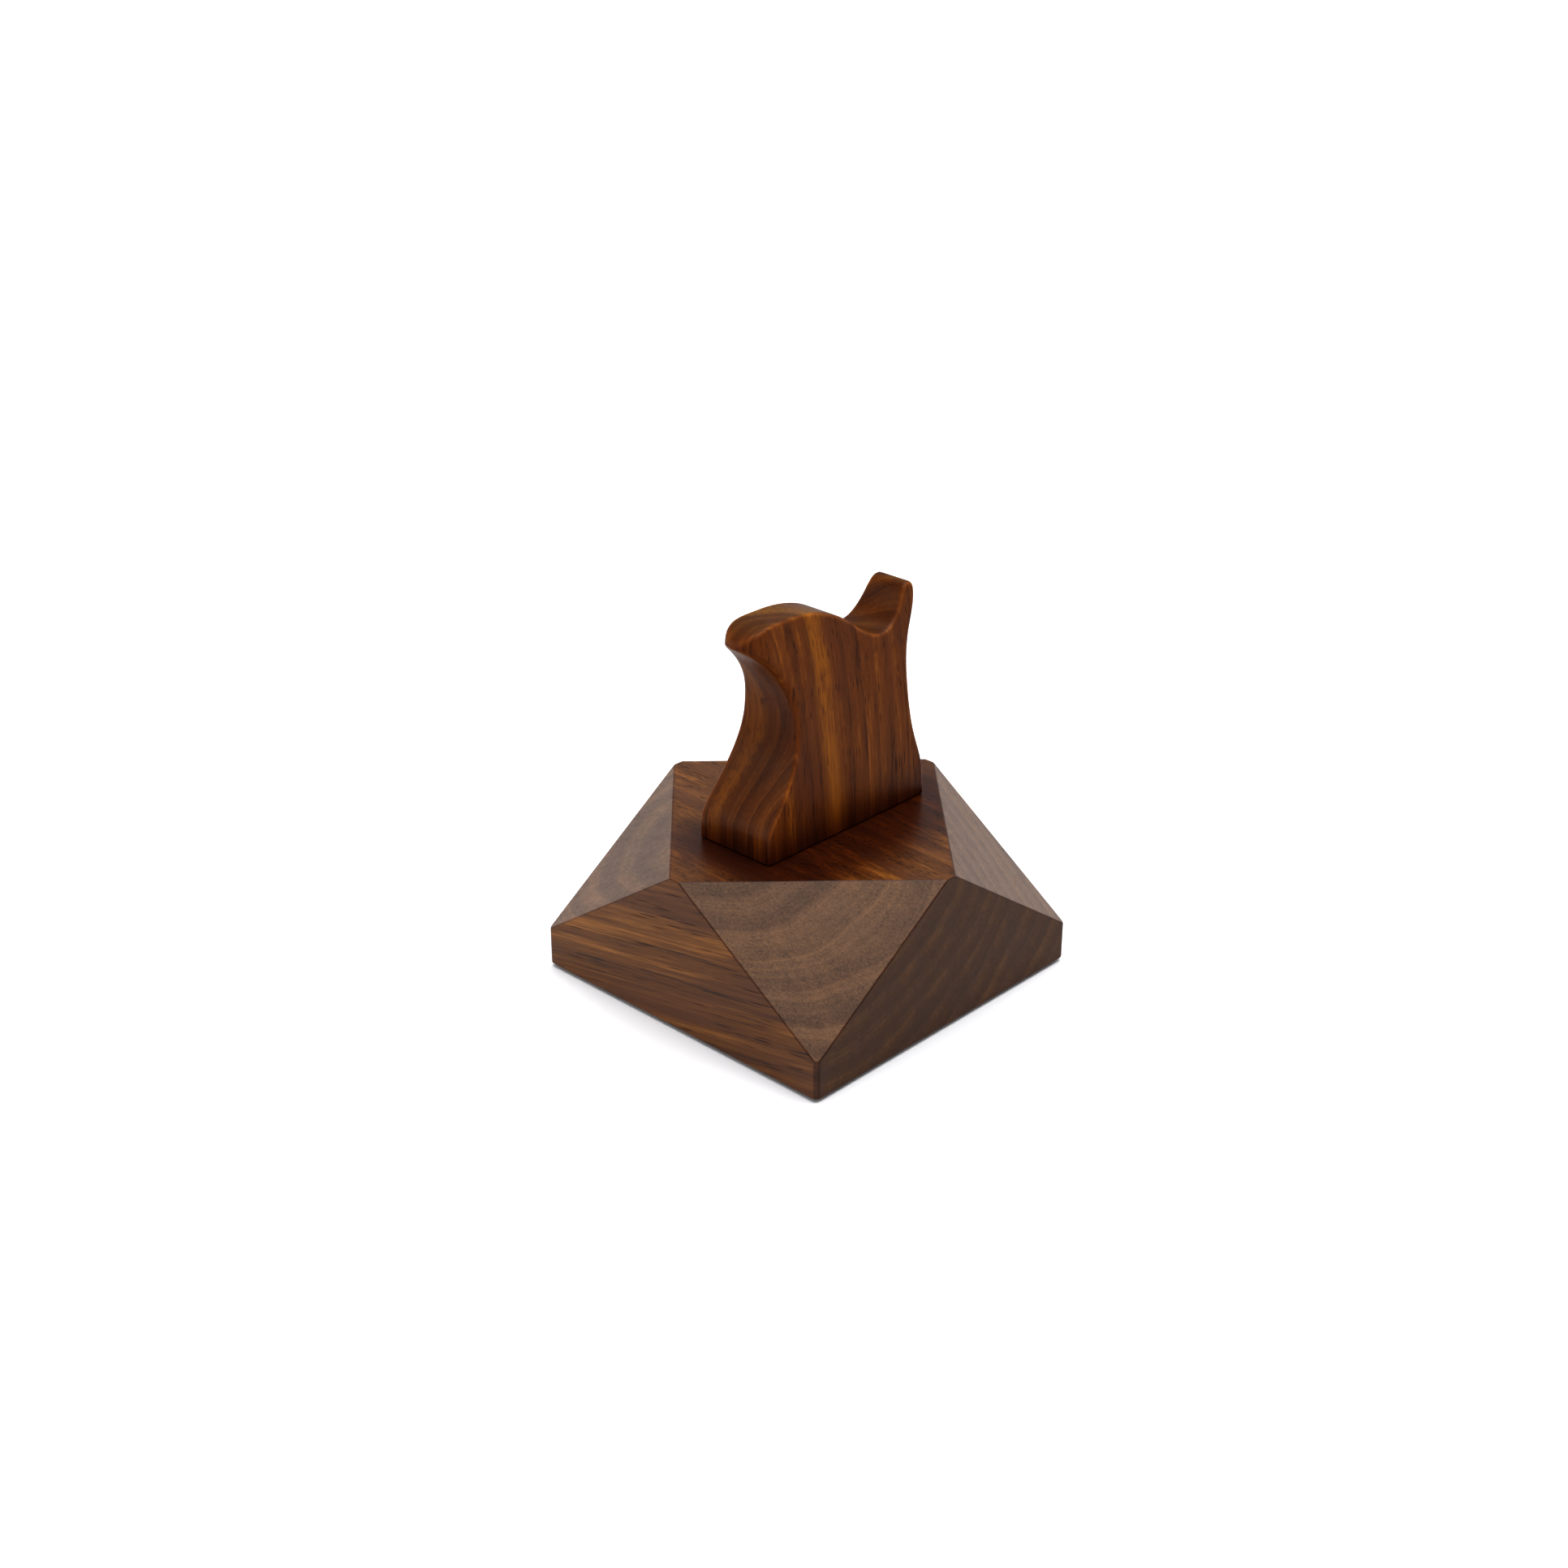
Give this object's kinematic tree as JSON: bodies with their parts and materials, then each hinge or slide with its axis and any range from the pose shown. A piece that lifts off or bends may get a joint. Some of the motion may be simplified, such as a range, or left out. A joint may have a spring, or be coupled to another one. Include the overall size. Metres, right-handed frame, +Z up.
{
  "type": "eyeglasses display stand",
  "caption": "Wooden stand for spectacles: a faceted square base and an upright nose-shaped post whose saddle carries the bridge of the frame, with a hollow and horn behind for the temples.",
  "frame": {"origin": "on the table, under the centre of the square base", "axes": "+Z up; -Y is the front, where the spectacles look; +X is to the right seen from the front"},
  "size_m": [0.114, 0.114, 0.1218],
  "materials": {
    "base_walnut": "oiled walnut, satin, long grain left to right",
    "post_walnut": "oiled walnut, satin, upright grain, redder and more figured than the base",
    "screw_steel": "zinc plated",
    "pad_rubber": "matt black"
  },
  "bodies": {
    "root": {"base_block": "base_walnut", "nose_post": "post_walnut", "post_screw_front": "screw_steel", "post_screw_rear": "screw_steel", "foot_pad_front_left": "pad_rubber", "foot_pad_front_right": "pad_rubber", "foot_pad_rear_left": "pad_rubber", "foot_pad_rear_right": "pad_rubber"}
  },
  "joints": []
}
